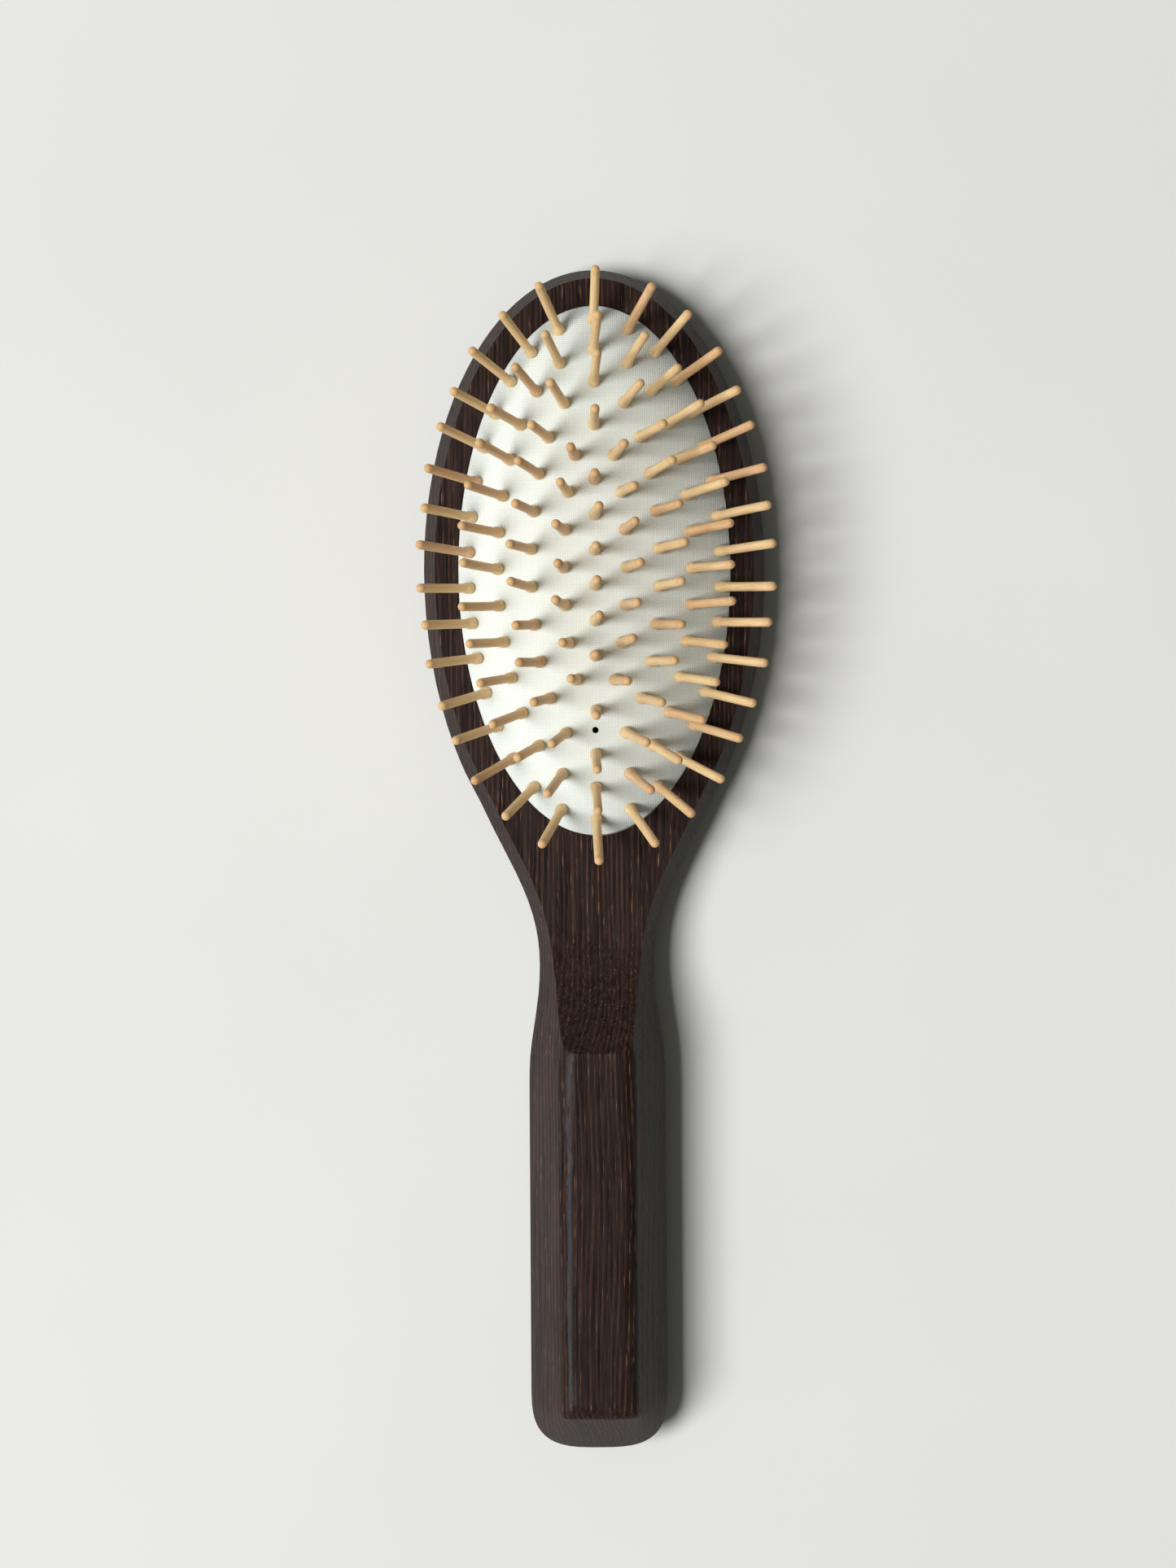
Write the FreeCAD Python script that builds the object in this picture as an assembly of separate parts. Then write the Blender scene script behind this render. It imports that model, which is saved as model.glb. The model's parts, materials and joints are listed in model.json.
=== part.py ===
import FreeCAD, Part

import math
import os

# Oval pneumatic-cushion brush with wooden pins, lying on its back.
# Millimetres. +Z is up out of the pin side, +Y runs from the handle to the head.
# The origin is under the middle of the brush, on the surface that it lies on.

V = FreeCAD.Vector

# ---- wooden body ----
LENGTH = 225.0
HEAD_HALF_WIDTH = 32.55
TIP_TO_WIDEST = 57.2
LOWER_HEAD_LENGTH = 60.0
HANDLE_HALF_WIDTH = 13.0
END_CURVE_LENGTH = 12.0
END_SQUARENESS = 3.2
END_SQUARER_PER_MM = 0.7
END_EXTRA_INSET = 1.8
# half-widths where the head narrows into the neck and swells into the handle,
# by distance from the tip of the head
NECK_STATIONS = [
    (107.0, 19.4), (113.2, 16.25), (119.5, 13.4), (125.7, 11.55), (132.0, 10.9),
    (138.0, 11.15), (144.4, 12.05), (150.6, 12.85),
]
ELLIPSE_END = 100.8
HANDLE_START = 157.0

WIDEST_Z = 8.1
FACE_Z = 13.0
HANDLE_TOP_Z = 22.0
SIDE_SLOPE = 2.16
BACK_INSET = 4.2
TOP_ROUND_DEPTH = 2.0
TOP_ROUND_WIDTH = 3.5
RAMP_START = 123.7
RAMP_END = 148.7

# ---- recess and groove that hold the cushion ----
CUSHION_CENTRE = 57.7
RECESS_HALF = (26.0, 50.4)
RECESS_FLOOR_Z = 4.0
GROOVE_DEPTH = 1.5
GROOVE_Z = (9.6, 12.0)

# ---- fabric and rubber ----
DOME_HEIGHT = 8.5
FULLNESS_ACROSS = 2.4
FULLNESS_ALONG = 4.6
COVER_HALF = (25.8, 50.2)
COVER_THICKNESS = 0.4
COVER_HEM_Z = 12.1
GLUE_GAP = 0.02
RUBBER_HALF = (25.35, 49.75)
RUBBER_WALL = 2.0
RIM_WALL = 1.0
FLANGE_HALF = (27.3, 51.7)
FLANGE_Z = (9.7, 11.9)
VENT_RADIUS = 0.6
VENT_FROM_CENTRE = 30.4

# ---- pins ----
SHAFT_RADIUS = 0.88
COLLAR_RADIUS = 1.12
COLLAR_HEIGHT = 1.6
COLLAR_TAPER_END = 2.5
COLLAR_LIFT = 0.2
PIN_LENGTH = 16.5
NECK_RADIUS = 0.8
NECK_CLEARANCE = 0.06
FOOT_RADIUS = 1.45
FOOT_THICKNESS = 0.9
FOOT_GAP = 0.3
LEAN = 0.03
UNEVEN = 0.024
# name, pins, half-width and half-length of the ring, lean at its sides and ends
RINGS = [
    ("outer", 34, 23.4, 46.8, 36.0, 29.0),
    ("second", 28, 18.0, 41.0, 26.0, 16.0),
    ("third", 22, 11.9, 34.8, 14.5, 12.5),
    ("inner", 16, 5.8, 26.7, 6.5, 5.0),
]
ROW_PINS = 6
ROW_PITCH = 6.6

# ---- points along each stretch of the outline ----
UPPER_HEAD_STEPS = 15
LOWER_HEAD_STEPS = 8
HANDLE_STEPS = 6
END_STEPS = 12

HEAD_TIP_Y = LENGTH / 2
CENTRE_Y = HEAD_TIP_Y - CUSHION_CENTRE
OUT_OF_REACH = 60.0


# ---------------------------------------------------------------- wooden body

def head_points(inset):
    """Right side of the head: two elliptical quarters, from the tip to the neck."""
    widest_y = HEAD_TIP_Y - TIP_TO_WIDEST
    points = []
    for i in range(UPPER_HEAD_STEPS):
        a = math.radians(90 * (1 - i / UPPER_HEAD_STEPS))
        points.append(ellipse_offset(HEAD_HALF_WIDTH, TIP_TO_WIDEST, a, inset, widest_y))
    last = -math.asin((ELLIPSE_END - TIP_TO_WIDEST) / LOWER_HEAD_LENGTH)
    for i in range(LOWER_HEAD_STEPS + 1):
        a = last * i / LOWER_HEAD_STEPS
        points.append(ellipse_offset(HEAD_HALF_WIDTH, LOWER_HEAD_LENGTH, a, inset, widest_y))
    return points


def ellipse_offset(half_width, half_length, angle, inset, centre_y):
    x = half_width * math.cos(angle)
    y = half_length * math.sin(angle)
    normal = V(x / half_width ** 2, y / half_length ** 2, 0).normalize()
    return V(x, centre_y + y, 0) - normal * inset


def neck_points(inset):
    """Right side of the neck and of the straight handle."""
    stations = list(NECK_STATIONS)
    end_start = LENGTH - END_CURVE_LENGTH
    step = (end_start - HANDLE_START) / HANDLE_STEPS
    straight = [HANDLE_START + step * i for i in range(HANDLE_STEPS)]
    stations += [(s, HANDLE_HALF_WIDTH) for s in straight]
    points = []
    for i, (s, half_width) in enumerate(stations):
        before = stations[max(i - 1, 0)]
        after = stations[min(i + 1, len(stations) - 1)]
        slope = (after[1] - before[1]) / (after[0] - before[0])
        normal = V(1, slope, 0).normalize()
        points.append(V(half_width, HEAD_TIP_Y - s, 0) - normal * inset)
    return points


def end_points(inset):
    """Right side of the rounded handle end, a superellipse that is squarer further in."""
    half_width = HANDLE_HALF_WIDTH - inset
    depth = END_CURVE_LENGTH - end_inset(inset)
    power = 2 / (END_SQUARENESS + END_SQUARER_PER_MM * inset)
    points = []
    for i in range(END_STEPS):
        a = math.radians(90 * i / END_STEPS)
        x = half_width * math.cos(a) ** power
        y = depth * math.sin(a) ** power
        points.append(V(x, END_CURVE_LENGTH - HEAD_TIP_Y - y, 0))
    return points


def end_inset(inset):
    """The end slopes a little more gently than the sides."""
    return inset + END_EXTRA_INSET * min(inset / side_inset(HANDLE_TOP_Z - TOP_ROUND_DEPTH), 1)


def outline(inset, z):
    """Closed outline of the body, drawn in by inset, at height z."""
    right = head_points(inset) + neck_points(inset) + end_points(inset)
    tail = V(0, end_inset(inset) - HEAD_TIP_Y, 0)
    left = [V(-p.x, p.y, 0) for p in reversed(right[1:])]
    points = [p + V(0, 0, z) for p in right + [tail] + left]
    curve = Part.BSplineCurve()
    curve.interpolate(Points=points, PeriodicFlag=True, Parameters=outline_parameters())
    return Part.Wire([curve.toShape()])


def outline_parameters():
    """Arc-length parameters of the widest outline, shared by every section."""
    right = head_points(0) + neck_points(0) + end_points(0)
    left = [V(-p.x, p.y, 0) for p in reversed(right[1:])]
    points = right + [V(0, -HEAD_TIP_Y, 0)] + left
    parameters = [0.0]
    for a, b in zip(points, points[1:] + points[:1]):
        parameters.append(parameters[-1] + (b - a).Length)
    return parameters


def back_sections():
    """Rounded lower edge, a quarter ellipse from the back facet to the widest line."""
    sections = []
    for degrees in (0, 18, 36, 54, 72, 90):
        a = math.radians(degrees)
        sections.append((BACK_INSET * (1 - math.sin(a)), WIDEST_Z * (1 - math.cos(a))))
    return sections


def top_sections():
    """Eased edge between the sloping sides and the flat top of the handle."""
    low_z = HANDLE_TOP_Z - TOP_ROUND_DEPTH
    low = (side_inset(low_z), low_z)
    corner = (side_inset(HANDLE_TOP_Z), HANDLE_TOP_Z)
    high = (low[0] + TOP_ROUND_WIDTH, HANDLE_TOP_Z)
    sections = []
    for i in range(5):
        t = i / 4
        weights = ((1 - t) ** 2, 2 * t * (1 - t), t * t)
        sections.append(tuple(sum(w * p[k] for w, p in zip(weights, (low, corner, high)))
                              for k in (0, 1)))
    return sections


def side_inset(z):
    return (z - WIDEST_Z) / SIDE_SLOPE


def loft(sections, ruled):
    return Part.makeLoft([outline(inset, z) for inset, z in sections], True, ruled)


def ramp_cutter():
    """Everything above the face of the head, up a concave ramp to the handle top."""
    run = RAMP_END - RAMP_START
    rise = HANDLE_TOP_Z - FACE_Z
    half_turn = math.atan2(rise, run)  # of the ramp's arc, which starts level
    radius = run / math.sin(2 * half_turn)
    start = V(-OUT_OF_REACH, HEAD_TIP_Y - RAMP_START, FACE_Z)
    middle = start + V(0, -radius * math.sin(half_turn), radius * (1 - math.cos(half_turn)))
    end = start + V(0, -run, rise)
    slope = math.tan(2 * half_turn)
    clear = V(-OUT_OF_REACH, end.y - OUT_OF_REACH / slope, end.z + OUT_OF_REACH)
    far_top = V(-OUT_OF_REACH, LENGTH, clear.z)
    far_low = V(-OUT_OF_REACH, LENGTH, FACE_Z)
    edges = [
        Part.Arc(start, middle, end).toShape(),
        Part.makeLine(end, clear),
        Part.makeLine(clear, far_top),
        Part.makeLine(far_top, far_low),
        Part.makeLine(far_low, start),
    ]
    face = Part.Face(Part.Wire(edges))
    return face.extrude(V(2 * OUT_OF_REACH, 0, 0))


def ellipse_prism(half, low_z, high_z):
    ellipse = Part.Ellipse(V(0, CENTRE_Y + half[1], low_z), V(half[0], CENTRE_Y, low_z),
                           V(0, CENTRE_Y, low_z))
    face = Part.Face(Part.Wire([ellipse.toShape()]))
    return face.extrude(V(0, 0, high_z - low_z))


def brush_body():
    back = loft(back_sections(), False)
    low_z = HANDLE_TOP_Z - TOP_ROUND_DEPTH
    sides = loft([(0, WIDEST_Z), (side_inset(low_z), low_z)], True)
    top = loft(top_sections(), False)
    blank = back.fuse([sides, top])
    carved = blank.cut(ramp_cutter())
    recess = ellipse_prism(RECESS_HALF, RECESS_FLOOR_Z, OUT_OF_REACH)
    groove_half = (RECESS_HALF[0] + GROOVE_DEPTH, RECESS_HALF[1] + GROOVE_DEPTH)
    groove = ellipse_prism(groove_half, GROOVE_Z[0], GROOVE_Z[1])
    return carved.cut([recess, groove]).removeSplitter()


# ------------------------------------------------------- cushion and its cover

def dome_z(x, y):
    """Height of the fabric over the cushion: fuller along its length than across."""
    u = x / COVER_HALF[0]
    r = (y - CENTRE_Y) / COVER_HALF[1]
    reach = u * u + r * r
    if reach < 1e-9:
        return FACE_Z + DOME_HEIGHT
    fullness = FULLNESS_ACROSS + (FULLNESS_ALONG - FULLNESS_ACROSS) * r * r / reach
    return FACE_Z + DOME_HEIGHT * (1 - reach ** (fullness / 2))


def above_dome(drop):
    """Solid of everything above the dome, lowered by drop."""
    nx, ny = 25, 45
    reach_x, reach_y = FLANGE_HALF[0] + 2, FLANGE_HALF[1] + 2
    rows = []
    for i in range(nx):
        x = reach_x * (2 * i / (nx - 1) - 1)
        ys = [CENTRE_Y + reach_y * (2 * j / (ny - 1) - 1) for j in range(ny)]
        rows.append([V(x, y, dome_z(x, y) - drop) for y in ys])
    surface = Part.BSplineSurface()
    surface.interpolate(rows)
    return surface.toShape().extrude(V(0, 0, OUT_OF_REACH))


def under_dome(half, low_z, drop):
    return ellipse_prism(half, low_z, OUT_OF_REACH / 2).cut(above_dome(drop))


def holes(pins):
    """Holes for the pin necks and the vent, through fabric and rubber."""
    vent = Part.makeCylinder(VENT_RADIUS, OUT_OF_REACH,
                             V(0, CENTRE_Y - VENT_FROM_CENTRE, RECESS_FLOOR_Z))
    reach = RUBBER_WALL + COVER_THICKNESS + 2
    radius = NECK_RADIUS + NECK_CLEARANCE
    cutters = [vent]
    for base, direction in pins:
        cutters.append(Part.makeCylinder(radius, 2 * reach, base - direction * reach, direction))
    return cutters


def fabric_cover(pins):
    outside = under_dome(COVER_HALF, COVER_HEM_Z, 0)
    inner_half = (COVER_HALF[0] - COVER_THICKNESS, COVER_HALF[1] - COVER_THICKNESS)
    inside = under_dome(inner_half, COVER_HEM_Z - 1, COVER_THICKNESS)
    return outside.cut(inside).cut(holes(pins))


def rubber_cushion(pins):
    dome = under_dome(RUBBER_HALF, FLANGE_Z[0], COVER_THICKNESS + GLUE_GAP)
    flange = ellipse_prism(FLANGE_HALF, FLANGE_Z[0], FLANGE_Z[1])
    chamber_half = (RUBBER_HALF[0] - RIM_WALL, RUBBER_HALF[1] - RIM_WALL)
    chamber = under_dome(chamber_half, FLANGE_Z[0] - 1,
                         COVER_THICKNESS + GLUE_GAP + RUBBER_WALL)
    return dome.fuse(flange).cut(chamber).cut(holes(pins))


# ------------------------------------------------------------------------ pins

def uneven_direction(tilt, heading, ring, index):
    """Unit direction of a pin: it leans along heading by tilt, a little unevenly."""
    sideways = math.sin(tilt)
    wobble_x = LEAN + UNEVEN * math.sin(2.4 * index + 1.3 * ring)
    wobble_y = UNEVEN * math.sin(3.9 * index + 0.7 * ring + 1.0)
    direction = V(sideways * heading.x + wobble_x, sideways * heading.y + wobble_y,
                  math.cos(tilt))
    return direction.normalize()


def ring_angles(count, a, b):
    """Angles that space the pins evenly along an ellipse, from its end at +Y."""
    steps = 2000
    lengths = [0.0]
    for i in range(steps):
        t = 2 * math.pi * (i + 0.5) / steps
        speed = math.hypot(a * math.cos(t), b * math.sin(t))
        lengths.append(lengths[-1] + speed * 2 * math.pi / steps)
    angles = []
    for k in range(count):
        target = lengths[-1] * k / count
        i = next(i for i in range(steps) if lengths[i + 1] > target)
        part = (target - lengths[i]) / (lengths[i + 1] - lengths[i])
        angles.append(2 * math.pi * (i + part) / steps)
    return angles


def ring_pins(ring, count, a, b, side_tilt, end_tilt):
    """Base point and direction of each pin in an elliptical ring, clockwise from +Y."""
    pins = []
    for k, t in enumerate(ring_angles(count, a, b)):
        x, y = a * math.sin(t), b * math.cos(t)
        heading = V(x / a ** 2, y / b ** 2, 0).normalize()
        share = math.cos(t) ** 2
        tilt = math.radians(side_tilt * (1 - share) + end_tilt * share)
        base = V(x, CENTRE_Y + y, dome_z(x, CENTRE_Y + y))
        pins.append((base, uneven_direction(tilt, heading, ring, k)))
    return pins


def row_pins():
    """Base point and direction of each pin in the centre row."""
    pins = []
    for k in range(ROW_PINS):
        y = CENTRE_Y + ROW_PITCH * ((ROW_PINS - 1) / 2 - k)
        base = V(0, y, dome_z(0, y))
        pins.append((base, uneven_direction(0, V(0, 1, 0), len(RINGS), k)))
    return pins


def pin(base, direction):
    """One turned wooden pin: foot, neck, collar, tapered shoulder, shaft, round tip."""
    neck = (RUBBER_WALL + COVER_THICKNESS + GLUE_GAP) * direction.z + FOOT_GAP
    shoulder = PIN_LENGTH - SHAFT_RADIUS
    corner = SHAFT_RADIUS * math.sqrt(0.5)
    profile = [
        V(0, 0, -neck - FOOT_THICKNESS),
        V(FOOT_RADIUS, 0, -neck - FOOT_THICKNESS),
        V(FOOT_RADIUS, 0, -neck),
        V(NECK_RADIUS, 0, -neck),
        V(NECK_RADIUS, 0, COLLAR_LIFT),
        V(COLLAR_RADIUS, 0, COLLAR_LIFT),
        V(COLLAR_RADIUS, 0, COLLAR_HEIGHT),
        V(SHAFT_RADIUS, 0, COLLAR_TAPER_END),
        V(SHAFT_RADIUS, 0, shoulder),
    ]
    edges = [Part.makeLine(a, b) for a, b in zip(profile, profile[1:])]
    tip = Part.Arc(profile[-1], V(corner, 0, shoulder + corner), V(0, 0, PIN_LENGTH))
    edges.append(tip.toShape())
    edges.append(Part.makeLine(V(0, 0, PIN_LENGTH), profile[0]))
    solid = Part.Face(Part.Wire(edges)).revolve(V(0, 0, 0), V(0, 0, 1), 360)
    solid.Placement = FreeCAD.Placement(base, FreeCAD.Rotation(V(0, 0, 1), direction))
    return solid


def pin_groups():
    """Node name to pins: each pin with its mirror twin, so a node holds two solids."""
    groups = {}
    for ring, (name, count, *shape) in enumerate(RINGS):
        pins = ring_pins(ring, count, *shape)
        pairs = [(0, count // 2)] + [(k, count - k) for k in range(1, count // 2)]
        for number, pair in enumerate(pairs, 1):
            groups[f"{name}_pin_pair_{number:02d}"] = [pins[k] for k in pair]
    row = row_pins()
    for number in range(1, ROW_PINS // 2 + 1):
        groups[f"centre_pin_pair_{number:02d}"] = [row[number - 1], row[-number]]
    return groups


# ----------------------------------------------------------------------- write

def main():
    os.makedirs("parts", exist_ok=True)
    groups = pin_groups()
    pins = [one for group in groups.values() for one in group]
    nodes = {
        "brush_body": brush_body(),
        "rubber_cushion": rubber_cushion(pins),
        "fabric_cover": fabric_cover(pins),
    }
    for name, group in groups.items():
        nodes[name] = Part.makeCompound([pin(*one) for one in group])
    for name, shape in nodes.items():
        shape.exportStep(f"parts/{name}.step")
        print(name, len(shape.Solids), "solids,", round(shape.Volume, 2), "mm3, valid:",
              shape.isValid())


main()
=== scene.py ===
import json
import math
import random

import bmesh
import bpy
import numpy as np
from mathutils import Matrix, Vector


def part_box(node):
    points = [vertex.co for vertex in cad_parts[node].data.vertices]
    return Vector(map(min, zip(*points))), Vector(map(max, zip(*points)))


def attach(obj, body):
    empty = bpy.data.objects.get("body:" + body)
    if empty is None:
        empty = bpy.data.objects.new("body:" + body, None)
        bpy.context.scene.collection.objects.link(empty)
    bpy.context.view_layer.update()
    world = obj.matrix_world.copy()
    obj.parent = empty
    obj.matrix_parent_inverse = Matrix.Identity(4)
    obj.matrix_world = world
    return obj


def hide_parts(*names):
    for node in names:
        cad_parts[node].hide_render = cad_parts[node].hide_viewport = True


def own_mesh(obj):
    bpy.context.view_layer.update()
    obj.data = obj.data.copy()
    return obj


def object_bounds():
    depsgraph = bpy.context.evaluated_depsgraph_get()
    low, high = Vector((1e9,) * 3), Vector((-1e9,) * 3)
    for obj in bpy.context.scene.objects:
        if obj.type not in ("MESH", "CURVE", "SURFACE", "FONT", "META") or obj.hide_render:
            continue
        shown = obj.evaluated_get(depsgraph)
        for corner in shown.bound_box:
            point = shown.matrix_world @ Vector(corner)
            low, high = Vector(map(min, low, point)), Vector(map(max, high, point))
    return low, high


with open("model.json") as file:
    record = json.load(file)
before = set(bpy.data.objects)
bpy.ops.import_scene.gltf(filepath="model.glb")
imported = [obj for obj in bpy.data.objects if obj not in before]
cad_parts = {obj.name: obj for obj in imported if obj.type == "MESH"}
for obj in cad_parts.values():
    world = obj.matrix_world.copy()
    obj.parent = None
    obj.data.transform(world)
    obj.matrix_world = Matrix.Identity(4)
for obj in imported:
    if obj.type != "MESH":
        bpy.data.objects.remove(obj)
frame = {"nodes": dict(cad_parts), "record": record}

# Oval cushion brush with wooden pins, lying on its back on a pale table, seen from above.
# Metres; a length given in millimetres is multiplied by MM.

MM = 0.001
CAD_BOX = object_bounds()

# ---- cushion: follows the CAD model, give or take a tenth of a millimetre ----
COVER_LOW, COVER_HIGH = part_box("fabric_cover")
COVER_HALF_X = (COVER_HIGH.x - COVER_LOW.x) / 2
COVER_HALF_Y = (COVER_HIGH.y - COVER_LOW.y) / 2
CENTRE_Y = (COVER_HIGH.y + COVER_LOW.y) / 2
FACE_Z = 13.0 * MM
DOME_HEIGHT = 8.5 * MM
COVER_THICKNESS = 0.38 * MM
HEM_DEPTH = 0.85 * MM
HEM_FOLD_DEPTH = 0.45 * MM
EDGE_ROLL_DEPTH = 0.16 * MM
OUTERMOST_SHARE = 0.9985
PUCKER_DEPTH = 0.16 * MM  # of the hollow round each pin
PUCKER_RADIUS = 1.5 * MM
PUCKER_REACH = 4.0 * MM
FULLNESS_ACROSS = 2.4
FULLNESS_ALONG = 4.6
RUBBER_WALL = 2.0 * MM
RUBBER_INSET = 0.45 * MM
RIM_WALL = 1.0 * MM
FLANGE_OUT = 1.9 * MM
FLANGE_TOP_Z = 11.9 * MM
FLANGE_LOW_Z = 9.7 * MM
VENT_RADIUS = 0.6 * MM
VENT_Y = CENTRE_Y - 30.4 * MM

# ---- pins: the same ----
PIN_LENGTH = 16.5 * MM
SHAFT_RADIUS = 0.88 * MM
COLLAR_RADIUS = 1.12 * MM
NECK_RADIUS = 0.78 * MM
FOOT_RADIUS = 1.43 * MM
FOOT_THICKNESS = 0.86 * MM
FOOT_GAP = 0.34 * MM
PIN_SIDES = 24
COLLAR_HEIGHT = 1.6 * MM
TAPER_END = 2.6 * MM
FOOT_EDGE = 0.12 * MM

# ---- eased edges of the wooden body ----
EDGE_ROUNDING = 0.7 * MM
EDGE_STEPS = 4

# ---- view and light ----
CAMERA_AT = Vector((-1.46 * MM, 14.3 * MM, 650 * MM))
CAMERA_TURN = -0.357
LENS = 77.1
LIGHT_TILT = 33
LIGHT_HEADING = 193
LIGHT_DISTANCE = 3.0
LIGHT_SIZE = 1.35
LIGHT_POWER = 97.0
LIGHT_COLOUR = (1.0, 0.995, 0.975)
TABLE_HALF_SIZE = 3.0
SKY_DARK = 0.015
SKY_BRIGHT = 0.24
SKY_COLOUR = (0.98, 1.0, 0.88, 1)


# ------------------------------------------------------------ node helpers

class Shader:
    """A material's node tree, with short calls for the nodes used here.

    Settings within 0 to 1 are shares; lengths in a material are in millimetres
    unless multiplied by MM.
    """

    def __init__(self, name):
        self.material = bpy.data.materials.new(name)
        self.material.use_nodes = True
        self.tree = self.material.node_tree
        self.surface = self.tree.nodes["Principled BSDF"]

    def node(self, kind, inputs=(), **settings):
        made = self.tree.nodes.new("ShaderNode" + kind)
        for key, value in settings.items():
            setattr(made, key, value)
        for key, value in dict(inputs).items():
            self.put(made.inputs[key], value)
        return made

    def put(self, socket, value):
        if isinstance(value, bpy.types.NodeSocket):
            self.tree.links.new(value, socket)
        else:
            socket.default_value = value

    def set(self, **values):
        for key, value in values.items():
            self.put(self.surface.inputs[key.replace("_", " ")], value)

    def math(self, operation, a, b=0.0, c=0.0):
        made = self.node("Math", {0: a, 1: b, 2: c}, operation=operation)
        return made.outputs[0]

    def place(self, scale=(1, 1, 1)):
        """Object coordinates in millimetres, times scale."""
        at = self.node("TexCoord").outputs["Object"]
        return self.scaled(at, [1000 * s for s in scale])

    def scaled(self, vector, scale):
        made = self.node("VectorMath", {0: vector, 1: scale}, operation="MULTIPLY")
        return made.outputs[0]

    def noise(self, vector, scale=1.0, detail=2.0, roughness=0.5):
        values = {"Vector": vector, "Scale": scale, "Detail": detail, "Roughness": roughness}
        return self.node("TexNoise", values).outputs["Fac"]

    def ramp(self, factor, stops):
        made = self.node("ValToRGB", {"Fac": factor})
        points = made.color_ramp.elements
        while len(points) < len(stops):
            points.new(0.5)
        for point, (position, colour) in zip(points, stops):
            point.position = position
            point.color = (*colour, 1)
        return made.outputs["Color"]

    def range(self, value, low, high, to_low=0.0, to_high=1.0):
        values = {"Value": value, "From Min": low, "From Max": high,
                  "To Min": to_low, "To Max": to_high}
        made = self.node("MapRange", values, interpolation_type="SMOOTHSTEP")
        return made.outputs["Result"]

    def mix(self, factor, a, b, blend="MIX"):
        made = self.node("Mix", data_type="RGBA", blend_type=blend)
        self.put(made.inputs[0], factor)
        self.put(made.inputs[6], a)
        self.put(made.inputs[7], b)
        return made.outputs[2]

    def bump(self, height, distance, strength=1.0):
        values = {"Height": height, "Distance": distance, "Strength": strength}
        self.put(self.surface.inputs["Normal"], self.node("Bump", values).outputs["Normal"])


def grey(value):
    """The same number three times, as a colour or a scale."""
    return (value, value, value)


# --------------------------------------------------------------- materials

# ---- grain and weave, in millimetres ----
RING_SPACING = 0.95
PITH = (-75.0, -4.0)
PORE_WIDTH = 0.14
PORE_LENGTH = 3.0
RING_DRIFT = 9.0
RING_FLUTTER = 0.8
WEAVE_PITCH = 0.42
YARN_SWAY = 0.11
TIP_TONE_FROM = 14.2  # height on the pin, where its tip starts to darken
TIP_TONE_FULL = 16.4


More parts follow.
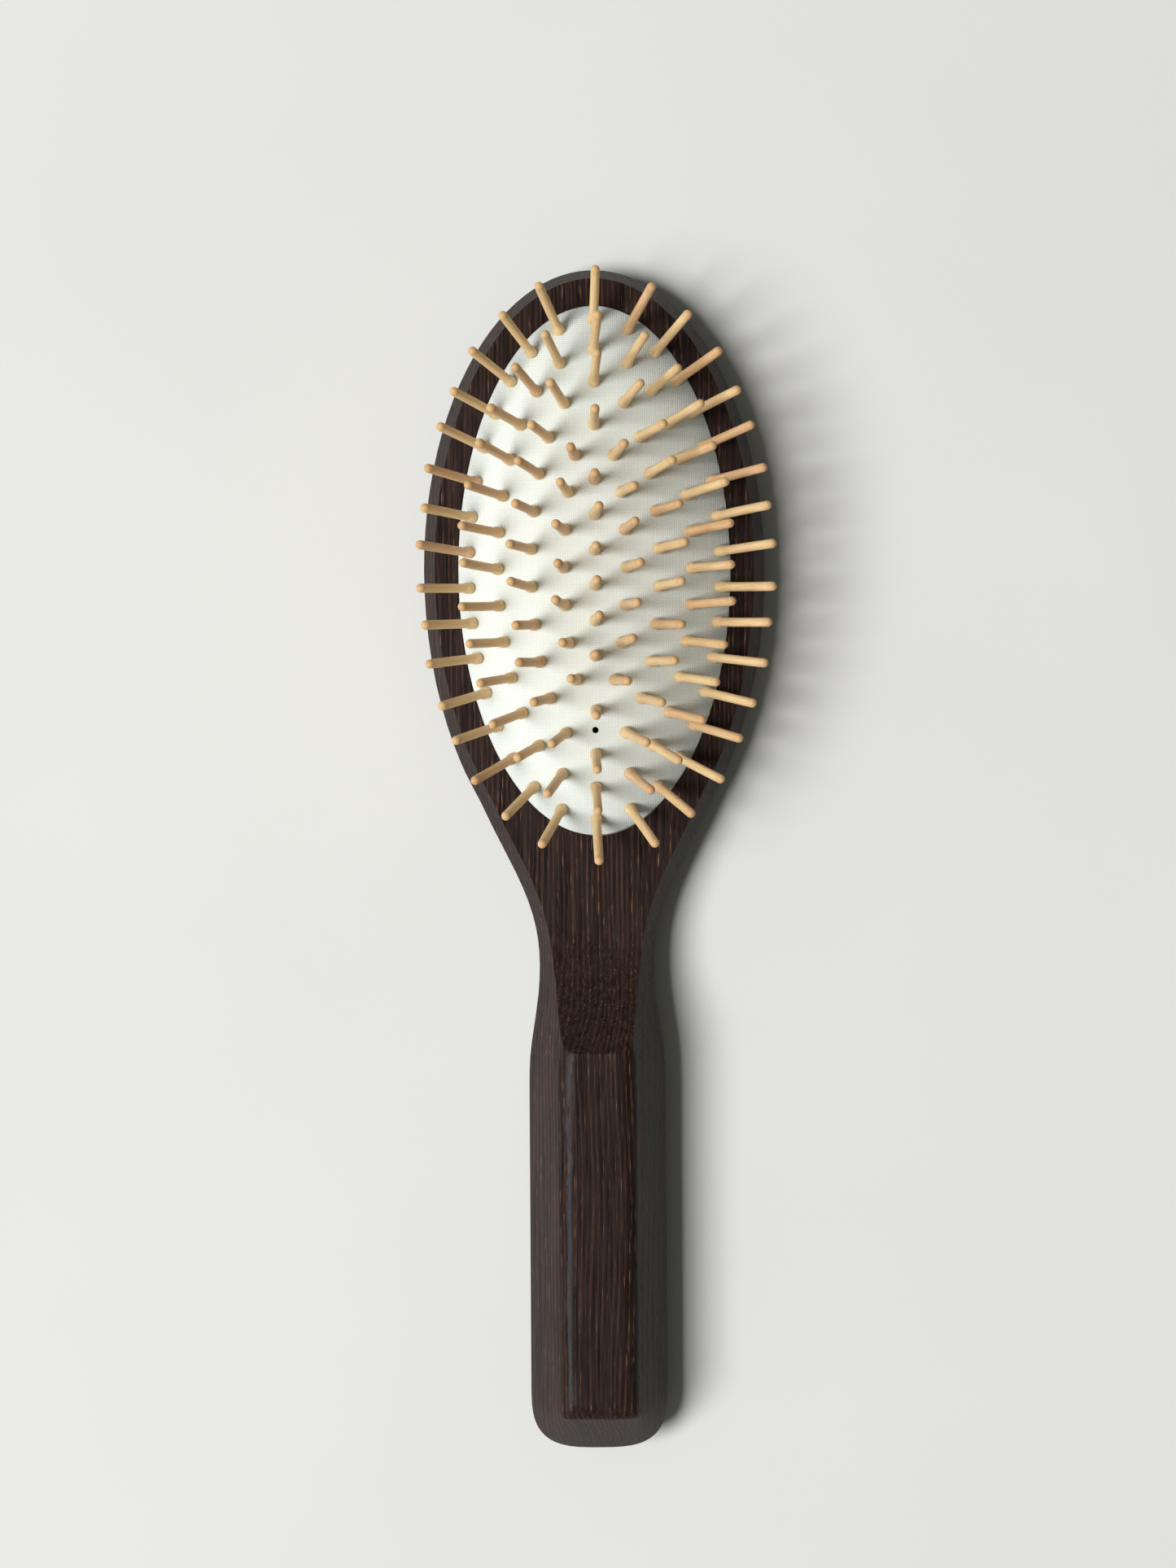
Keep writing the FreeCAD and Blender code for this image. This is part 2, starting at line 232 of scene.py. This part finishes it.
def dark_wood():
    """Heat-darkened ring-porous wood: curved growth rings, pores as long dashes along Y."""
    s = Shader("dark_wood")
    at = s.place()
    drift = s.math("SUBTRACT", s.noise(s.scaled(at, (0.04, 0.007, 0.04)), 1, 2), 0.5)
    flutter = s.math("SUBTRACT", s.noise(s.scaled(at, (0.6, 0.03, 0.6)), 1, 3), 0.5)
    parts = s.node("SeparateXYZ", {0: at}).outputs
    from_pith = s.node("CombineXYZ", {
        "X": s.math("SUBTRACT", parts["X"], PITH[0]),
        "Z": s.math("SUBTRACT", parts["Z"], PITH[1]),
    }).outputs[0]
    radius = s.node("VectorMath", {0: from_pith}, operation="LENGTH").outputs["Value"]
    radius = s.math("MULTIPLY_ADD", drift, RING_DRIFT, radius)
    radius = s.math("MULTIPLY_ADD", flutter, RING_FLUTTER, radius)
    year = s.math("DIVIDE", radius, RING_SPACING)
    phase = s.math("FRACT", year)
    early = s.math("MULTIPLY", s.range(phase, 0.0, 0.12), s.range(phase, 0.55, 0.3))
    strength = s.noise(s.node("CombineXYZ", {"X": s.math("FLOOR", year)}).outputs[0], 0.73, 1)
    early = s.math("MULTIPLY", early, s.range(strength, 0.35, 0.6, 0.35, 1.0))

    cells = s.scaled(at, (1 / PORE_WIDTH, 1 / PORE_LENGTH, 1 / PORE_WIDTH))
    pores = s.node("TexVoronoi", {"Vector": cells, "Scale": 1.0, "Randomness": 1.0})
    chance = s.node("SeparateColor", {0: pores.outputs["Color"]}).outputs
    chosen = s.range(s.math("ADD", chance["Red"], s.math("MULTIPLY", early, 0.75)), 0.98, 1.1)
    pore = s.math("MULTIPLY", s.range(pores.outputs["Distance"], 0.55, 0.3), chosen)

    fibre = s.noise(s.scaled(at, (4.5, 0.10, 4.5)), 1, 4, 0.6)
    patch = s.noise(s.scaled(at, (0.16, 0.03, 0.16)), 1, 3)
    band = s.noise(s.scaled(at, (1.5, 0.04, 1.5)), 1, 3, 0.6)
    base = s.ramp(fibre, [(0.28, (0.0120, 0.0080, 0.0076)), (0.52, (0.0300, 0.0195, 0.0180)),
                          (0.75, (0.058, 0.0350, 0.0290))])
    warm = s.ramp(fibre, [(0.3, (0.040, 0.0190, 0.0135)), (0.7, (0.115, 0.0500, 0.0300))])
    colour = s.mix(s.math("MULTIPLY", early, s.range(patch, 0.35, 0.65, 0.3, 0.85)), base, warm)
    glint = s.mix(s.range(chance["Green"], 0.5, 1.0), (0.100, 0.043, 0.024, 1),
                  (0.300, 0.160, 0.090, 1))
    streaks = s.ramp(band, [(0.36, grey(0.46)), (0.5, grey(0.80)), (0.62, grey(1.0))])
    colour = s.mix(1.0, colour, streaks, "MULTIPLY")
    colour = s.mix(s.math("MULTIPLY", pore, s.range(chance["Blue"], 0.15, 0.6, 0.25, 0.9)),
                   colour, glint)
    s.set(Base_Color=colour, Specular_IOR_Level=0.07, Specular_Tint=(0.80, 0.89, 1.0, 1),
          Roughness=s.range(s.math("ADD", s.math("MULTIPLY", pore, 0.5), fibre), 0.2, 1.2, 0.28, 0.50))
    relief = s.math("SUBTRACT", s.math("MULTIPLY", fibre, 0.35), s.math("MULTIPLY", pore, 0.9))
    relief = s.math("SUBTRACT", relief, s.math("MULTIPLY", early, 0.25))
    s.bump(relief, 0.09 * MM, 0.9)
    return s.material


def cover_fabric():
    """Off-white plain weave: warp along Y, weft along X, with uneven yarn; the dips between yarns
    carry painted shade.
    """
    s = Shader("cover_fabric")
    at = s.place()
    sway = s.node("TexNoise", {"Vector": at, "Scale": 0.9, "Detail": 2.0}).outputs["Color"]
    sway = s.node("VectorMath", {0: sway, 1: grey(0.5)}, operation="SUBTRACT").outputs[0]
    at_woven = s.node("VectorMath", {0: at, 1: s.scaled(sway, grey(YARN_SWAY))}, operation="ADD")
    parts = s.node("SeparateXYZ", {0: at_woven.outputs[0]}).outputs
    warp_wave = s.math("SINE", s.math("MULTIPLY", parts["X"], math.pi / WEAVE_PITCH))
    weft_wave = s.math("SINE", s.math("MULTIPLY", parts["Y"], math.pi / WEAVE_PITCH))
    crossing = s.math("MULTIPLY", warp_wave, weft_wave)
    warp = s.math("MULTIPLY", s.math("ABSOLUTE", warp_wave),
                  s.math("MULTIPLY_ADD", crossing, 0.55, 0.75))
    weft = s.math("MULTIPLY", s.math("ABSOLUTE", weft_wave),
                  s.math("MULTIPLY_ADD", crossing, -0.55, 0.75))
    height = s.math("MAXIMUM", warp, weft)
    slub_x = s.noise(s.scaled(at, (1 / WEAVE_PITCH, 0.12, 0.3)), 1, 2)
    slub_y = s.noise(s.scaled(at, (0.12, 1 / WEAVE_PITCH, 0.3)), 1, 2)
    slub = s.math("ADD", slub_x, slub_y)
    fuzz = s.noise(at, 9.0, 3)
    # Painted shade: the colour darkens where the weave dips between yarns. Slub and fuzz add the
    # yarn's own uneven tone.
    shade = s.math("MULTIPLY_ADD", slub, 0.22, height)
    shade = s.math("MULTIPLY_ADD", fuzz, 0.15, shade)
    colour = s.ramp(s.range(shade, 0.2, 1.25), [(0.0, (0.60, 0.67, 0.63)),
                                                (0.45, (0.83, 0.905, 0.865)),
                                                (1.0, (0.90, 0.965, 0.93))])
    s.set(Base_Color=colour, Roughness=0.92, Specular_IOR_Level=0.2, Sheen_Weight=0.15,
          Sheen_Roughness=0.5, Subsurface_Weight=0.3, Subsurface_Scale=1.2 * MM,
          Subsurface_Radius=(1.0, 1.0, 0.9))
    s.bump(s.math("MULTIPLY_ADD", fuzz, 0.2, height), 0.10 * MM, 0.75)
    return s.material


def pin_wood():
    """Pale turned hardwood: fine streaks along each pin, tone by pin, tips rubbed warmer."""
    s = Shader("pin_wood")
    along = s.node("Attribute", attribute_name="grain_at").outputs["Vector"]
    tone = s.node("Attribute", attribute_name="pin_tone").outputs["Fac"]
    streak = s.noise(s.scaled(along, (3.2, 3.2, 0.16)), 1, 4, 0.6)
    fleck = s.noise(s.scaled(along, (9.0, 9.0, 1.1)), 1, 2)
    pale = s.ramp(streak, [(0.3, (0.70, 0.485, 0.245)), (0.55, (0.80, 0.60, 0.335)),
                           (0.75, (0.86, 0.685, 0.42))])
    rosy = s.ramp(streak, [(0.3, (0.58, 0.35, 0.18)), (0.6, (0.72, 0.48, 0.27)),
                           (0.8, (0.79, 0.56, 0.345))])
    colour = s.mix(s.range(tone, 0.45, 1.0), pale, rosy)
    height = s.node("SeparateXYZ", {0: along}).outputs["Z"]
    tip = s.range(height, TIP_TONE_FROM, TIP_TONE_FULL)
    colour = s.mix(s.math("MULTIPLY", tip, 0.55), colour, (0.60, 0.345, 0.145, 1))
    colour = s.mix(s.range(fleck, 0.62, 0.75, 0.0, 0.35), colour, (0.42, 0.25, 0.13, 1))
    s.set(Base_Color=colour, Specular_IOR_Level=0.3,
          Roughness=s.range(streak, 0.3, 0.7, 0.42, 0.58), Subsurface_Weight=0.35,
          Subsurface_Scale=1.3 * MM, Subsurface_Radius=(1.0, 0.6, 0.3))
    s.bump(s.math("ADD", streak, s.math("MULTIPLY", fleck, 0.5)), 0.03 * MM, 0.6)
    return s.material


def rubber():
    """Natural rubber, matt, with a faint bloom."""
    s = Shader("rubber")
    bloom = s.noise(s.place(), 0.4, 4)
    colour = s.ramp(bloom, [(0.3, (0.42, 0.30, 0.17)), (0.7, (0.55, 0.42, 0.27))])
    s.set(Base_Color=colour, Roughness=s.range(bloom, 0.3, 0.7, 0.65, 0.85))
    s.bump(s.noise(s.place(), 6.0, 3), 0.04 * MM, 0.5)
    return s.material


def table():
    """Pale painted table with faint, wide mottling and a fine tooth."""
    s = Shader("table")
    mottle = s.noise(s.place(grey(0.012)), 1, 3)
    colour = s.ramp(mottle, [(0.3, (0.776, 0.778, 0.772)), (0.7, (0.798, 0.800, 0.794))])
    s.set(Base_Color=colour, Roughness=0.8, Specular_IOR_Level=0.2)
    s.bump(s.noise(s.place(), 1.4, 3), 0.03 * MM, 0.4)
    return s.material


# ------------------------------------------------------------------ pieces

def add_piece(name, mesh, body, material, slot, *nodes):
    """An object that rides on a body and stands for the given CAD nodes."""
    piece = bpy.data.objects.new(name, mesh)
    bpy.context.scene.collection.objects.link(piece)
    mesh.materials.clear()
    mesh.materials.append(material)
    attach(piece, body)
    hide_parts(*nodes)
    return piece


def wooden_body(material):
    """The CAD body with its edges eased, as sanded and oiled wood has them."""
    bm = bmesh.new()
    bm.from_mesh(frame["nodes"]["brush_body"].data)
    bmesh.ops.remove_doubles(bm, verts=bm.verts, dist=0.001 * MM)
    bmesh.ops.dissolve_limit(bm, angle_limit=math.radians(0.4), verts=bm.verts, edges=bm.edges)
    mesh = bpy.data.meshes.new("wooden_body")
    bm.to_mesh(mesh)
    bm.free()
    mesh.shade_smooth()
    piece = add_piece("wooden_body", mesh, "body", material, "dark_wood", "brush_body")
    bevel = piece.modifiers.new("eased_edges", "BEVEL")
    bevel.limit_method = "ANGLE"
    bevel.angle_limit = math.radians(16)
    bevel.width = EDGE_ROUNDING
    bevel.segments = EDGE_STEPS
    bevel.harden_normals = True
    weighted = piece.modifiers.new("flat_faces", "WEIGHTED_NORMAL")
    weighted.keep_sharp = True
    return piece


def dome_z(x, y):
    """Height of the fabric over the cushion: fuller along its length than across."""
    u = x / COVER_HALF_X
    r = (y - CENTRE_Y) / COVER_HALF_Y
    reach = u * u + r * r
    if reach < 1e-9:
        return FACE_Z + DOME_HEIGHT
    fullness = FULLNESS_ACROSS + (FULLNESS_ALONG - FULLNESS_ACROSS) * r * r / reach
    return FACE_Z + DOME_HEIGHT * (1 - reach ** (fullness / 2))


def ring_grid(rings, sides):
    """Closed mesh from rings of points, from one pole to the other."""
    bm = bmesh.new()
    loops = [[bm.verts.new(p) for p in ring] for ring in rings[1:-1]]
    poles = bm.verts.new(rings[0]), bm.verts.new(rings[-1])
    for a, b in zip(loops, loops[1:]):
        for i in range(sides):
            j = (i + 1) % sides
            bm.faces.new((a[i], a[j], b[j], b[i]))
    for i in range(sides):
        j = (i + 1) % sides
        bm.faces.new((poles[0], loops[0][j], loops[0][i]))
        bm.faces.new((poles[1], loops[-1][i], loops[-1][j]))
    bmesh.ops.recalc_face_normals(bm, faces=bm.faces)
    return bm


def pucker(x, y, bases):
    """Small hollow that each pin's collar presses into the cloth."""
    depth = 0.0
    for base in bases:
        d = math.hypot(x - base.x, y - base.y)
        if d < PUCKER_REACH:
            depth += PUCKER_DEPTH * math.exp(-(d / PUCKER_RADIUS) ** 2)
    return depth


def dome_rings(inset, drop, shares, sides, bases=()):
    """Rings of points on the dome, drawn in by inset and lowered by drop."""
    rings = []
    for share in shares:
        ring = []
        for i in range(sides):
            a = 2 * math.pi * i / sides
            x = (COVER_HALF_X - inset) * share * math.cos(a)
            y = CENTRE_Y + (COVER_HALF_Y - inset) * share * math.sin(a)
            z = dome_z(x, y) - drop - pucker(x, y, bases)
            ring.append(Vector((x, y, z)))
        rings.append(ring)
    return rings


def level_ring(outset, z, sides):
    """An elliptical ring at one height, outside the cover's edge by outset."""
    ring = []
    for i in range(sides):
        a = 2 * math.pi * i / sides
        x = (COVER_HALF_X + outset) * math.cos(a)
        y = CENTRE_Y + (COVER_HALF_Y + outset) * math.sin(a)
        ring.append(Vector((x, y, z)))
    return ring


def cut_vent(piece):
    """Pierces the vent hole through a piece and applies the cut."""
    bm = bmesh.new()
    place = Matrix.Translation((0, VENT_Y, FACE_Z + DOME_HEIGHT / 2))
    bmesh.ops.create_cone(bm, cap_ends=True, segments=28, radius1=VENT_RADIUS,
                          radius2=VENT_RADIUS, depth=2 * DOME_HEIGHT, matrix=place)
    mesh = bpy.data.meshes.new("vent_cutter")
    bm.to_mesh(mesh)
    bm.free()
    cutter = bpy.data.objects.new("vent_cutter", mesh)
    bpy.context.scene.collection.objects.link(cutter)
    cut = piece.modifiers.new("vent", "BOOLEAN")
    cut.object = cutter
    cut.solver = "EXACT"
    bpy.context.view_layer.update()
    evaluated = piece.evaluated_get(bpy.context.evaluated_depsgraph_get())
    pierced = bpy.data.meshes.new_from_object(evaluated)
    piece.modifiers.clear()
    piece.data = pierced
    bpy.data.objects.remove(cutter)


def shares_to_rim(count):
    """Radial steps from the crown to the rim, closer together near the rim."""
    return [math.sin(math.pi / 2 * i / count) ** 0.9 for i in range(1, count)]


def fabric_cover(material, bases):
    """The stretched cloth: dome with puckers, rolled over the rim, its hem tucked down."""
    sides, steps = 360, 84
    shares = shares_to_rim(steps) + [OUTERMOST_SHARE]
    outer = dome_rings(0, 0, shares, sides, bases)
    roll = [level_ring(0.0, FACE_Z - EDGE_ROLL_DEPTH, sides),
            level_ring(0.0, FACE_Z - HEM_DEPTH, sides)]
    under_hem = [level_ring(-COVER_THICKNESS, FACE_Z - HEM_DEPTH, sides),
                 level_ring(-COVER_THICKNESS, FACE_Z - HEM_FOLD_DEPTH, sides)]
    inner = dome_rings(COVER_THICKNESS, COVER_THICKNESS, reversed(shares[:-1:3]), sides)
    crown = Vector((0, CENTRE_Y, FACE_Z + DOME_HEIGHT))
    rings = [crown] + outer + roll + under_hem + inner
    rings.append(crown - Vector((0, 0, COVER_THICKNESS)))
    bm = ring_grid(rings, sides)
    mesh = bpy.data.meshes.new("fabric_cover_cloth")
    bm.to_mesh(mesh)
    bm.free()
    piece = add_piece("fabric_cover_cloth", mesh, "body", material, "cover_fabric",
                      "fabric_cover")
    cut_vent(piece)
    piece.data.shade_smooth()
    piece.data.set_sharp_from_angle(angle=math.radians(50))
    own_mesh(piece)
    return piece


def rubber_membrane(material):
    """The rubber dome under the cloth, with its flange in the groove of the wood."""
    sides = 180
    shares = shares_to_rim(40)
    inset = RUBBER_INSET
    outer = dome_rings(inset, inset, shares, sides)
    flange = [level_ring(-inset, FLANGE_TOP_Z, sides),
              level_ring(FLANGE_OUT - 0.5 * MM, FLANGE_TOP_Z, sides),
              level_ring(FLANGE_OUT - 0.4 * MM, FLANGE_LOW_Z + 0.1 * MM, sides),
              level_ring(-inset - RIM_WALL, FLANGE_LOW_Z + 0.1 * MM, sides)]
    chamber_inset = inset + RIM_WALL
    inner = dome_rings(chamber_inset, inset + RUBBER_WALL, reversed(shares[::2]), sides)
    crown = Vector((0, CENTRE_Y, FACE_Z + DOME_HEIGHT - inset))
    rings = [crown] + outer + flange + inner + [crown - Vector((0, 0, RUBBER_WALL))]
    bm = ring_grid(rings, sides)
    mesh = bpy.data.meshes.new("rubber_membrane")
    bm.to_mesh(mesh)
    bm.free()
    piece = add_piece("rubber_membrane", mesh, "body", material, "rubber", "rubber_cushion")
    cut_vent(piece)
    piece.data.shade_smooth()
    piece.data.set_sharp_from_angle(angle=math.radians(40))
    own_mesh(piece)
    return piece


# -------------------------------------------------------------------- pins

def pin_axes(node):
    """(tip, direction) of each pin in a CAD node, from its separate solids."""
    bm = bmesh.new()
    bm.from_mesh(frame["nodes"][node].data)
    bmesh.ops.remove_doubles(bm, verts=bm.verts, dist=0.001 * MM)
    left = set(bm.verts)
    axes = []
    while left:
        start = min(left, key=lambda v: v.index)
        island, reached = {start}, [start]
        while reached:
            for edge in reached.pop().link_edges:
                for v in edge.verts:
                    if v not in island:
                        island.add(v)
                        reached.append(v)
        left -= island
        points = np.array([v.co for v in sorted(island, key=lambda v: v.index)])
        axes.append(pin_axis(points))
    bm.free()
    return sorted(axes, key=lambda axis: (round(axis[0].y, 4), axis[0].x))


def pin_axis(points):
    """Tip and direction of one pin: its longest axis, pointing up."""
    centre = (points.max(0) + points.min(0)) / 2
    spread = np.linalg.svd(points - centre, full_matrices=False)[2][0]
    direction = Vector(spread if spread[2] > 0 else -spread).normalized()
    along = (points - centre) @ np.array(direction)
    top = points[along > along.max() - 0.05 * MM].mean(0)
    foot = points[along < along.min() + 0.05 * MM].mean(0)
    direction = Vector(top - foot).normalized()
    tip = Vector(foot) + direction * (along.max() - along.min())
    return tip, direction


def pin_profile(neck):
    """(height over the cloth, radius) down a pin, in metres, from its tip to its foot."""
    shoulder = PIN_LENGTH - SHAFT_RADIUS
    profile = []
    for degrees in (14, 30, 46, 62, 78):
        a = math.radians(90 - degrees)
        profile.append((shoulder + SHAFT_RADIUS * math.sin(a), SHAFT_RADIUS * math.cos(a)))
    for i in range(9):
        profile.append((shoulder + (TAPER_END - shoulder) * i / 8, SHAFT_RADIUS))
    taper = [(2.3 * MM, 0.90 * MM), (2.0 * MM, 0.97 * MM), (1.8 * MM, 1.06 * MM)]
    collar = [(COLLAR_HEIGHT, COLLAR_RADIUS), (0.42 * MM, COLLAR_RADIUS), (0.3 * MM, 1.07 * MM),
              (0.26 * MM, 0.98 * MM), (0.25 * MM, NECK_RADIUS), (-neck, NECK_RADIUS)]
    foot = [(-neck - 0.02 * MM, FOOT_RADIUS - FOOT_EDGE), (-neck - 0.14 * MM, FOOT_RADIUS),
            (-neck - FOOT_THICKNESS + FOOT_EDGE, FOOT_RADIUS),
            (-neck - FOOT_THICKNESS, FOOT_RADIUS - FOOT_EDGE)]
    return profile + taper + collar + foot


def add_pin(bm, tip, direction, draw, layers):
    """One turned pin in bm, with its own small unevenness, tone and grain."""
    grain, tone = layers
    neck = (RUBBER_WALL + COVER_THICKNESS) * direction.z + FOOT_GAP
    base = tip - direction * PIN_LENGTH
    turn = Vector((0, 0, 1)).rotation_difference(direction).to_matrix().to_4x4()
    place = Matrix.Translation(base) @ turn @ Matrix.Rotation(draw.uniform(0, 6.28), 4, "Z")
    bow = draw.uniform(-0.07, 0.07) * MM
    girth = draw.uniform(0.965, 1.0)
    own_tone = draw.random()
    offset = draw.uniform(0, 60)
    rings = []
    for height, radius in pin_profile(neck):
        share = max(height, 0) / PIN_LENGTH
        shift = bow * math.sin(math.pi * share)
        wobble = girth * (1 + draw.uniform(-0.012, 0.0))
        ring = []
        for i in range(PIN_SIDES):
            a = 2 * math.pi * i / PIN_SIDES
            ring.append(Vector((radius * wobble * math.cos(a) + shift,
                                radius * wobble * math.sin(a), height)))
        rings.append(ring)
    ends = [Vector((0, 0, PIN_LENGTH)), Vector((0, 0, rings[-1][0].z))]

    def vertex(local):
        v = bm.verts.new(place @ local)
        v[grain] = Vector((local.x / MM + offset, local.y / MM, local.z / MM))
        v[tone] = own_tone
        return v

    loops = [[vertex(p) for p in ring] for ring in rings]
    poles = [vertex(p) for p in ends]
    for a, b in zip(loops, loops[1:]):
        for i in range(PIN_SIDES):
            j = (i + 1) % PIN_SIDES
            bm.faces.new((a[i], b[i], b[j], a[j]))
    for i in range(PIN_SIDES):
        j = (i + 1) % PIN_SIDES
        bm.faces.new((poles[0], loops[0][i], loops[0][j]))
        bm.faces.new((poles[1], loops[-1][j], loops[-1][i]))


def wooden_pins(material):
    """Every pin, in one piece per CAD node, and the points where they leave the cloth."""
    draw = random.Random(7)
    bases = []
    for body, members in frame["record"]["behaviour"]["bodies"].items():
        for node in sorted(n for n in members if "_pin_pair_" in n):
            bm = bmesh.new()
            grain = bm.verts.layers.float_vector.new("grain_at")
            tone = bm.verts.layers.float.new("pin_tone")
            for tip, direction in pin_axes(node):
                add_pin(bm, tip, direction, draw, (grain, tone))
                bases.append(tip - direction * PIN_LENGTH)
            bmesh.ops.recalc_face_normals(bm, faces=bm.faces)
            name = node.replace("_pin_pair_", "_pins_")
            mesh = bpy.data.meshes.new(name)
            bm.to_mesh(mesh)
            bm.free()
            mesh.shade_smooth()
            mesh.set_sharp_from_angle(angle=math.radians(38))
            add_piece(name, mesh, body, material, "pin_wood", node)
    return bases


# --------------------------------------------------------- stage and light

def stage_table(material):
    """A wide table top under the brush's back."""
    bm = bmesh.new()
    bmesh.ops.create_grid(bm, x_segments=2, y_segments=2, size=TABLE_HALF_SIZE)
    mesh = bpy.data.meshes.new("table")
    bm.to_mesh(mesh)
    bm.free()
    mesh.materials.append(material)
    floor = bpy.data.objects.new("table", mesh)
    floor.location.z = CAD_BOX[0].z
    bpy.context.scene.collection.objects.link(floor)


def soft_light():
    """One softbox high on the left, in a dim room."""
    tilt, heading = math.radians(LIGHT_TILT), math.radians(LIGHT_HEADING)
    direction = Vector((math.sin(tilt) * math.cos(heading), math.sin(tilt) * math.sin(heading),
                        math.cos(tilt)))
    lamp = bpy.data.lights.new("softbox", "AREA")
    lamp.shape = "DISK"
    lamp.size = LIGHT_SIZE
    lamp.energy = LIGHT_POWER
    lamp.color = LIGHT_COLOUR
    light = bpy.data.objects.new("softbox", lamp)
    light.location = direction * LIGHT_DISTANCE
    light.rotation_euler = direction.to_track_quat("Z", "Y").to_euler()
    bpy.context.scene.collection.objects.link(light)
    bpy.context.scene.world = dim_room(direction)
    bpy.context.scene.view_settings.view_transform = "Standard"


def dim_room(bright_side):
    """A dim room, much lighter on the side of the softbox than opposite it."""
    world = bpy.data.worlds.new("room")
    world.use_nodes = True
    tree = world.node_tree
    ray = tree.nodes.new("ShaderNodeTexCoord").outputs["Generated"]
    facing = tree.nodes.new("ShaderNodeVectorMath")
    facing.operation = "DOT_PRODUCT"
    facing.inputs[1].default_value = Vector((bright_side.x, bright_side.y, 0)).normalized()
    tree.links.new(ray, facing.inputs[0])
    share = tree.nodes.new("ShaderNodeMapRange")
    share.inputs["From Min"].default_value = -1.0
    share.inputs["To Min"].default_value = SKY_DARK
    share.inputs["To Max"].default_value = SKY_BRIGHT
    tree.links.new(facing.outputs["Value"], share.inputs["Value"])
    background = tree.nodes["Background"]
    background.inputs["Color"].default_value = SKY_COLOUR
    tree.links.new(share.outputs["Result"], background.inputs["Strength"])
    return world


def top_camera():
    """Camera straight above the brush, turned a little, with a long lens."""
    lens = bpy.data.cameras.new("camera")
    lens.sensor_fit = "VERTICAL"
    lens.sensor_height = 36
    lens.lens = LENS
    lens.clip_start = 0.01
    camera = bpy.data.objects.new("camera", lens)
    camera.location = CAMERA_AT
    camera.rotation_euler = (0, 0, math.radians(CAMERA_TURN))
    bpy.context.scene.collection.objects.link(camera)
    bpy.context.scene.camera = camera


def main():
    top_camera()
    soft_light()
    stage_table(table())
    wooden_body(dark_wood())
    bases = wooden_pins(pin_wood())
    rubber_membrane(rubber())
    cover = fabric_cover(cover_fabric(), bases)


main()
